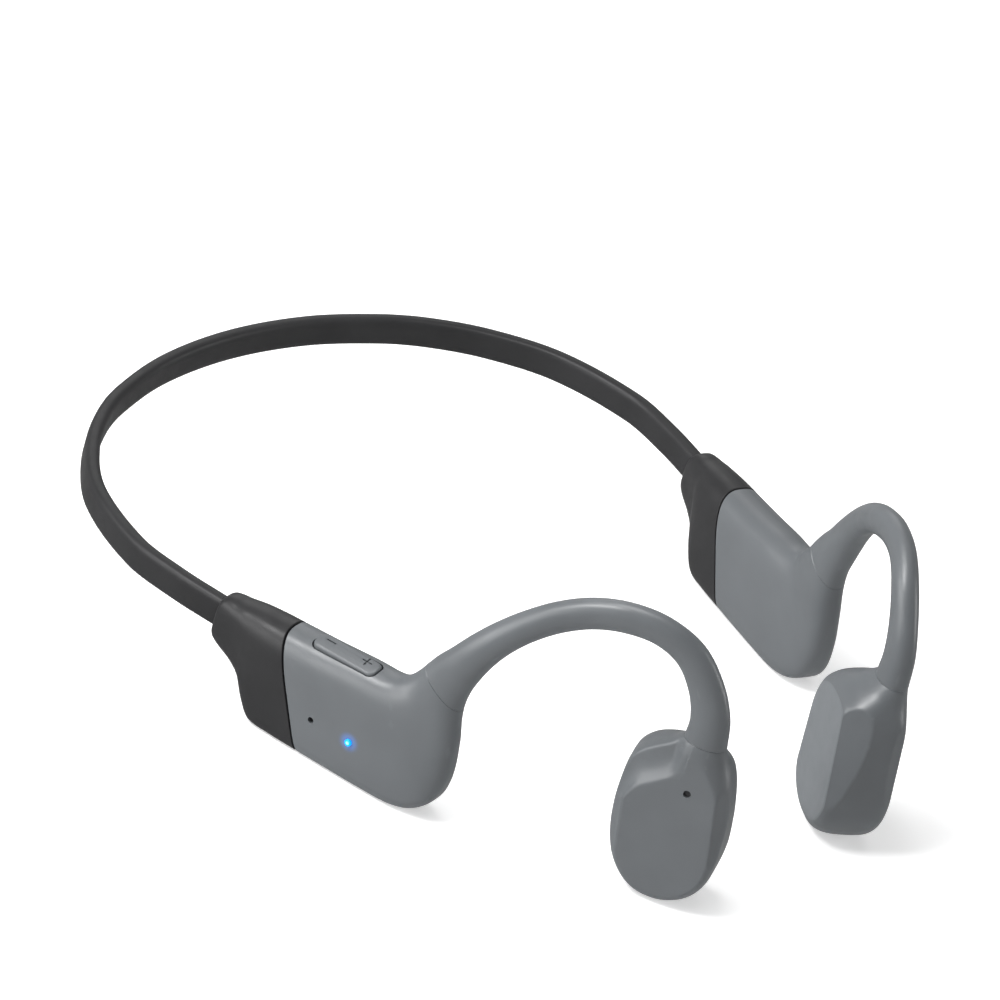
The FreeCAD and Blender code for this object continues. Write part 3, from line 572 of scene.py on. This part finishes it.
def slab_mesh(length, width, low, high, radius, matrix, edge=0.0, edge_steps=5):
    """Rounded bar from low to high along local Z, with an optional soft upper edge."""
    outline = rounded_outline(length, width, radius)
    levels = [(low, 0.0), (high - edge, 0.0)]
    if edge > 0:
        for step in range(1, edge_steps + 1):
            angle = math.pi / 2 * step / edge_steps
            levels.append((high - edge + edge * math.sin(angle), edge * (1 - math.cos(angle))))
    loops = [np.column_stack([outline * inset_scale(length, width, inset), np.full(len(outline), level)])
             for level, inset in levels]
    vertices, faces = skin(loops)
    return placed(vertices, matrix), faces


def turned_mesh(profile, matrix, steps):
    """Round piece about local Z, from its radius at each level."""
    angle = np.linspace(0, 2 * math.pi, steps, endpoint=False)
    loops = [np.column_stack([radius * np.cos(angle), radius * np.sin(angle), np.full(steps, level)])
             for radius, level in profile]
    vertices, faces = skin(loops)
    return placed(vertices, matrix), faces


def rod_mesh(radius, low, high, matrix):
    return turned_mesh([(radius, low), (radius, high)], matrix, ROD_STEPS)


def carve(piece, cutters):
    """Cut shapes out of a piece and keep the result as its mesh."""
    for vertices, faces in cutters:
        tool = build_mesh("cutter", vertices, faces)
        modifier = piece.modifiers.new("carve", "BOOLEAN")
        modifier.operation = "DIFFERENCE"
        modifier.solver = "EXACT"
        modifier.object = tool
        bpy.context.view_layer.update()
        carved = bpy.data.meshes.new_from_object(piece.evaluated_get(bpy.context.evaluated_depsgraph_get()))
        piece.modifiers.clear()
        piece.data = carved
        bpy.data.objects.remove(tool)
    smooth(piece)


def outward_matrix(along, height):
    return axis_matrix(arm_point(along, 0, height), FORWARD, UP, OUT)


ROD_STEPS = 40
SIDES = (("right", False), ("left", True))
CUT_PAST = 8.0          # how far out the cutters of the right housing reach
POD_CUT_PAST = 9.0

# ---------------------------------------------------------------- neckband
BAND_HALF = [(-55.5, 0.6), (-57.4, 10.0), (-58.2, 20.4), (-54.2, 35.3), (-46.7, 45.6), (-38.4, 52.5),
             (-30.4, 56.8), (-16.5, 61.3), (0.0, 63.0)]
band_points = [np.array([x, y + SHIFT, LIFT]) for x, y in BAND_HALF]
band_points += [p * MIRROR for p in reversed(band_points[:-1])]
band_line = refine(band_points, FINE_PIECES)
# a quarter of the strip's section: outward and upward, with a fine bevel along the long edges
STRIP = [(1.30, 1.15), (1.27, 1.75), (1.16, 2.18), (0.94, 2.50), (0.62, 2.66), (0.2, 2.70)]
strip = STRIP + [(-x, z) for x, z in reversed(STRIP)]
strip += [(-x, -z) for x, z in STRIP] + [(x, -z) for x, z in reversed(STRIP)]
band_loops = []
for i, point in enumerate(band_line):
    ahead = band_line[min(i + 1, len(band_line) - 1)] - band_line[max(i - 1, 0)]
    ahead = ahead / np.linalg.norm(ahead)
    across = np.cross(ahead, UP)
    band_loops.append(np.array([point + across * x + UP * z for x, z in strip]))
STRIP_CHAMFER = 0.2
band_piece = build_mesh("band_strip", *skin(break_edges(band_loops, STRIP_CHAMFER)))
finish_piece(band_piece, "band", band_silicone, ["band_cover"])

# ---------------------------------------------------------------- boots
BOOT_CHAMFER = 0.09
MOUTH_HIGH, MOUTH_WIDE, MOUTH_DEEP, MOUTH_CORNER = 6.0, 3.6, 3.0, 1.2
boot_data = skin(break_edges(boot_loops, BOOT_CHAMFER))
mouth = slab_mesh(MOUTH_HIGH, MOUTH_WIDE, -MOUTH_DEEP, MOUTH_DEEP, MOUTH_CORNER,
                  axis_matrix(arm_point(-20.0, 0.1, 0), UP, -OUT, FORWARD))
for side, left in SIDES:
    boot = build_mesh("boot_skin_" + side, *(mirror(*boot_data) if left else boot_data))
    carve(boot, [mirror(*mouth) if left else mouth])
    finish_piece(boot, "arm_" + side, boot_plastic, ["boot_" + side])

# ---------------------------------------------------------------- housings
ARM_CHAMFER = 0.10
ROCKER_TILT = math.radians(14.0)
ROCKER_UP = UP * math.cos(ROCKER_TILT) + OUT * math.sin(ROCKER_TILT)
ROCKER_ACROSS = np.cross(FORWARD, ROCKER_UP)
ROCKER_CENTRE = arm_point(4.2, 0.2, 2.6)
KEY_LENGTH, KEY_WIDTH, KEY_CORNER = 12.2, 3.5, 1.2
KEY_GAP = 0.25
SLOT_FLOOR, SLOT_CORNER = 1.2, 1.4
MIC_ALONG, MIC_HEIGHT = 2.8, -6.3
CONTACTS_ALONG, CONTACT_HEIGHT = (6.5, 12.5), -4.0
rocker_matrix = axis_matrix(ROCKER_CENTRE, FORWARD, -ROCKER_ACROSS, ROCKER_UP)
slot_cut = slab_mesh(KEY_LENGTH + 2 * KEY_GAP, KEY_WIDTH + 2 * KEY_GAP, SLOT_FLOOR, CUT_PAST, SLOT_CORNER,
                     rocker_matrix)
mic_cut = rod_mesh(0.55, 3.2, CUT_PAST, outward_matrix(MIC_ALONG, MIC_HEIGHT))
lamp_cut = rod_mesh(0.62, 4.2, CUT_PAST, outward_matrix(LAMP_ALONG, LAMP_HEIGHT))
contact_cuts = [rod_mesh(1.22, -CUT_PAST, -3.4, outward_matrix(along, CONTACT_HEIGHT)) for along in CONTACTS_ALONG]
box_data = skin(break_edges(box_loops, ARM_CHAMFER))
right_box = build_mesh("housing_skin_right", *box_data)
carve(right_box, [slot_cut, mic_cut, lamp_cut] + contact_cuts)
finish_piece(right_box, "arm_right", lit_plastic, ["right_housing"])
left_box = build_mesh("housing_skin_left", *mirror(*box_data))
finish_piece(left_box, "arm_left", grey_plastic, ["left_housing"])

# ---------------------------------------------------------------- hooks
hook_data = skin(break_edges(hook_loops, ARM_CHAMFER))
for side, left in SIDES:
    hook = build_mesh("hook_skin_" + side, *(mirror(*hook_data) if left else hook_data))
    finish_piece(hook, "arm_" + side, hook_silicone, ["hook_cover_" + side])

# ---------------------------------------------------------------- pods
POD_CHAMFER = 0.05
pod_data = skin(break_edges(pod_loops(), POD_CHAMFER))


def split_pod(name, keep_outer, left):
    """One side of the pod about the seam between shell and contact pad."""
    piece = build_mesh(name, *(mirror(*pod_data) if left else pod_data))
    plane_at = pod_point(0, PAD_SEAM + (PAD_GAP if keep_outer else -PAD_GAP), 0)
    normal = POD_OUT.copy()
    if left:
        plane_at, normal = plane_at * MIRROR, normal * MIRROR
    work = bmesh.new()
    work.from_mesh(piece.data)
    geometry = work.verts[:] + work.edges[:] + work.faces[:]
    result = bmesh.ops.bisect_plane(work, geom=geometry, plane_co=plane_at * MM, plane_no=normal,
                                    clear_inner=keep_outer, clear_outer=not keep_outer)
    rim = [e for e in result["geom_cut"] if isinstance(e, bmesh.types.BMEdge)]
    bmesh.ops.edgeloop_fill(work, edges=rim)
    bmesh.ops.recalc_face_normals(work, faces=work.faces)
    work.to_mesh(piece.data)
    work.free()
    smooth(piece)
    return piece


BUTTON_WIDTH, BUTTON_HEIGHT, BUTTON_GAP = 7.4, 11.0, 0.25
pod_mic_matrix = axis_matrix(pod_point(3.2, 0, 7.6), POD_FORWARD, UP, POD_OUT)
pod_mic_cut = rod_mesh(0.66, 4.6, POD_CUT_PAST, pod_mic_matrix)
button_matrix = axis_matrix(pod_point(1.6, 0, -2.0), np.cross(UP, POD_OUT), UP, POD_OUT)
button_cut = slab_mesh(BUTTON_WIDTH + 2 * BUTTON_GAP, BUTTON_HEIGHT + 2 * BUTTON_GAP, 4.4, POD_CUT_PAST, 3.5,
                       button_matrix)
for side, left in SIDES:
    shell = split_pod("pod_skin_" + side, True, left)
    carve(shell, [mirror(*button_cut) if left else pod_mic_cut])
    finish_piece(shell, "arm_" + side, grey_plastic, ["pod_shell_" + side])
    pad = split_pod("contact_skin_" + side, False, left)
    finish_piece(pad, "arm_" + side, lit_pad_silicone, ["contact_pad_" + side])
button_data = slab_mesh(BUTTON_WIDTH, BUTTON_HEIGHT, 5.05, 6.35, 3.3, button_matrix, edge=0.4)
finish_piece(build_mesh("button_skin", *mirror(*button_data)), "button_cap", key_plastic,
             ["function_button"])

# ---------------------------------------------------------------- rocker key
# inset and drop of each loop of the key, from its foot over its rounded edge to its middle
KEY_EDGE = [(0.0, 2.6), (0.0, 0.42), (0.05, 0.26), (0.14, 0.12), (0.27, 0.03), (0.42, 0.0), (0.8, 0.0),
            (1.2, 0.0), (1.5, 0.0)]
CROWN_HIGH, CROWN_SLOPE, CROWN_ACROSS, CROWN_ALONG = 3.98, 0.028, 0.075, 0.0012
MARK_DEPTH, MARK_WIDTH, MARK_LENGTH, MARK_CORNER, MARK_ACROSS = 0.35, 0.30, 1.9, 0.14, 0.4
MINUS_ALONG, PLUS_ALONG = -3.6, 3.5


def crown_level(along, across):
    """Height of the key's top over its centre: it follows the round top of the box."""
    return CROWN_HIGH + CROWN_SLOPE * along - CROWN_ACROSS * across ** 2 - CROWN_ALONG * along ** 2


key_outline = rounded_outline(KEY_LENGTH, KEY_WIDTH, KEY_CORNER)
key_loops = []
for inset, drop in KEY_EDGE:
    ring = key_outline * inset_scale(KEY_LENGTH, KEY_WIDTH, inset)
    level = np.array([crown_level(a, b) for a, b in ring]) - drop
    key_loops.append(np.column_stack([ring, level]))
key_vertices, key_faces = skin(key_loops)
key_piece = build_mesh("rocker_skin", placed(key_vertices, rocker_matrix), key_faces)
# engraved minus and plus
for along, length, width in ((MINUS_ALONG, MARK_LENGTH, MARK_WIDTH), (PLUS_ALONG, MARK_LENGTH, MARK_WIDTH),
                             (PLUS_ALONG, MARK_WIDTH, MARK_LENGTH)):
    mark_matrix = axis_matrix(ROCKER_CENTRE + FORWARD * along - ROCKER_ACROSS * MARK_ACROSS, FORWARD,
                              -ROCKER_ACROSS, ROCKER_UP)
    mark_top = crown_level(along, MARK_ACROSS)
    carve(key_piece, [slab_mesh(length, width, mark_top - MARK_DEPTH, mark_top + 1.0, MARK_CORNER, mark_matrix)])
finish_piece(key_piece, "rocker_key", key_plastic, ["volume_rocker"])

# ---------------------------------------------------------------- small trim
LENS_PROFILE = [(0.60, 4.3), (0.60, 4.98), (0.5, 5.04), (0.3, 5.08), (0.1, 5.09)]
LENS_STEPS = 36
lens_data = turned_mesh(LENS_PROFILE, outward_matrix(LAMP_ALONG, LAMP_HEIGHT), LENS_STEPS)
finish_piece(build_mesh("lamp_lens", *lens_data), "arm_right", lamp, ["led_window"])
mic_disc = rod_mesh(0.54, 3.3, 3.8, outward_matrix(MIC_ALONG, MIC_HEIGHT))
finish_piece(build_mesh("mic_mesh_box", *mic_disc), "arm_right", dark_mesh)
pod_disc = rod_mesh(0.65, 4.85, 5.15, pod_mic_matrix)
finish_piece(build_mesh("mic_mesh_pod", *pod_disc), "arm_right", dark_mesh)

# ---------------------------------------------------------------- carried-over nodes
slots = {entry["node"]: entry["material_slot"] for entry in frame["record"]["subparts"]}
for node_name, node in frame["nodes"].items():
    node.data.materials.clear()
    node.data.materials.append(SLOT_MATERIALS[slots[node_name]])

# ---------------------------------------------------------------- floor, light and camera, in metres
FLOOR_HALF = 6
floor_mesh = bpy.data.meshes.new("floor")
floor_mesh.from_pydata([(sx * FLOOR_HALF, sy * FLOOR_HALF, 0) for sx, sy in ((-1, -1), (1, -1), (1, 1), (-1, 1))],
                       [], [(0, 1, 2, 3)])
floor = bpy.data.objects.new("floor", floor_mesh)
bpy.context.scene.collection.objects.link(floor)
paper, _, _, paper_shader = node_material("floor_paper")
set_inputs(paper_shader, Base_Color=(0.93, 0.93, 0.93, 1), Roughness=0.9, Specular_IOR_Level=0.1,
           Emission_Color=(1, 1, 1, 1), Emission_Strength=0.42)
floor.data.materials.append(paper)
floor.visible_glossy = False

# white near the horizon, greyer overhead and a little grey below
world = bpy.data.worlds.new("studio")
bpy.context.scene.world = world
world.use_nodes = True
sky_nodes, sky_links = world.node_tree.nodes, world.node_tree.links
sky_place = add_node(sky_nodes, "TexCoord")
sky_split = add_node(sky_nodes, "SeparateXYZ")
sky_ramp = add_node(sky_nodes, "ValToRGB")
set_ramp(sky_ramp, (0.05, (1, 1, 1)), (0.75, (0.30, 0.30, 0.30)))
sky_ramp.color_ramp.elements.new(0.0).color = (0.85, 0.85, 0.85, 1)
sky_links.new(sky_place.outputs["Generated"], sky_split.inputs["Vector"])
sky_links.new(sky_split.outputs["Z"], sky_ramp.inputs["Fac"])
sky_links.new(sky_ramp.outputs["Color"], sky_nodes["Background"].inputs["Color"])
set_inputs(sky_nodes["Background"], Strength=0.42)
bpy.context.scene.view_settings.view_transform = "Standard"

# name, place, target, size and power in watts
LIGHTS = [
    ("overhead", (0.1, 0.2, 1.2), (0, 0, 0.02), (1.6, 1.3), 3.4),
    ("side_box", (-0.86, 0.40, 0.30), (0, 0, 0.02), (0.9, 0.45), 6.4),
    ("shoulder_box", (-0.53, 0.21, 0.73), (-0.03, 0, 0.02), (0.30, 0.30), 5.6),
    ("back_box", (0.55, 0.75, 0.55), (0, 0, 0.02), (0.5, 0.4), 1.0),
    ("inner_fill", (-0.03, 0.0, 0.22), (0.05, -0.045, 0.025), (0.10, 0.10), 0.20),
    ("edge_strip", (0.72, -0.53, 0.22), (0, 0, 0.02), (0.12, 0.5), 1.6),
]
for name, place, target, size, power in LIGHTS:
    data = bpy.data.lights.new(name, "AREA")
    data.shape = "RECTANGLE"
    data.size, data.size_y = size
    data.energy = power
    light = bpy.data.objects.new(name, data)
    light.location = place
    light.rotation_euler = (Vector(target) - Vector(place)).to_track_quat("-Z", "Y").to_euler()
    bpy.context.scene.collection.objects.link(light)

CAMERA_AT = np.array([-844.4, -667.0 + SHIFT, 662.0 + LIFT])
VIEW = np.array([0.67232, 0.52834, -0.51850])
RIGHT = np.array([0.70963, -0.65937, 0.24828])
camera_data = bpy.data.cameras.new("camera")
camera_data.sensor_width = 36
camera_data.lens = 271.7
camera_data.clip_end = 50
camera = bpy.data.objects.new("camera", camera_data)
camera.matrix_world = axis_matrix(CAMERA_AT, RIGHT, np.cross(-VIEW, RIGHT), -VIEW)
bpy.context.scene.collection.objects.link(camera)
bpy.context.scene.camera = camera
